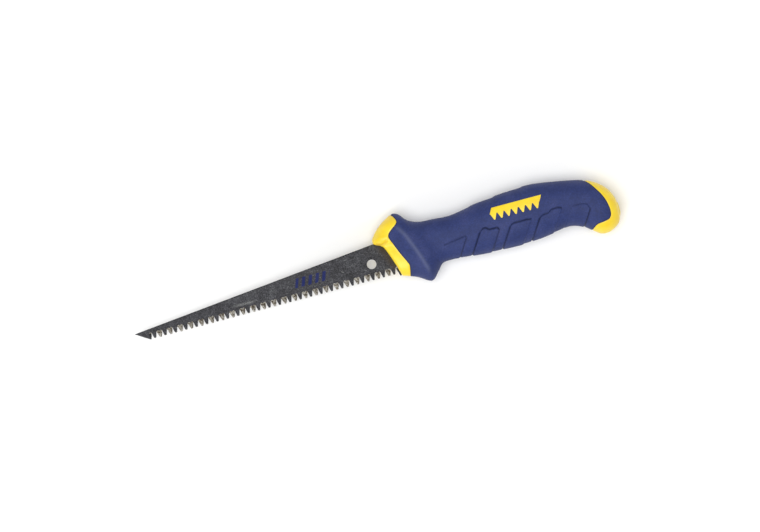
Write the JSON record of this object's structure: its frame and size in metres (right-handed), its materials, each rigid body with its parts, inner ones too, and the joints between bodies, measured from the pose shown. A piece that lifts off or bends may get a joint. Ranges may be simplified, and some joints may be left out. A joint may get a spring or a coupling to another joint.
{
  "type": "drywall saw",
  "caption": "Hand saw with a stiff pointed tapering blade, coarse ground teeth along one edge and a guarded soft-grip pistol-butt handle in line with it.",
  "frame": {"origin": "middle of the underside of the saw lying on its right side: the centre of its bounding box in X and Y, and its lowest point in Z", "axes": "+X along the line of the tooth tips from the blade's point to the butt of the handle, +Y from the tooth line towards the spine, +Z out of the saw's left side (up as it lies)"},
  "size_m": [0.313, 0.0466, 0.031],
  "materials": {
    "blade_steel": "blackened steel, satin, with bright ground tooth flanks",
    "pin_steel": "plain drawn steel",
    "shell_plastic": "yellow moulded plastic, semi-gloss",
    "grip_rubber": "blue soft rubber, fine matt grain",
    "emblem_plastic": "yellow moulded plastic, semi-gloss"
  },
  "bodies": {
    "root": {"blade": "blade_steel", "shell_left": "shell_plastic", "shell_right": "shell_plastic", "tang_pin_front": "pin_steel", "tang_pin_middle": "pin_steel", "tang_pin_rear": "pin_steel", "grip": "grip_rubber", "emblem_left": "emblem_plastic", "emblem_right": "emblem_plastic"}
  },
  "joints": []
}
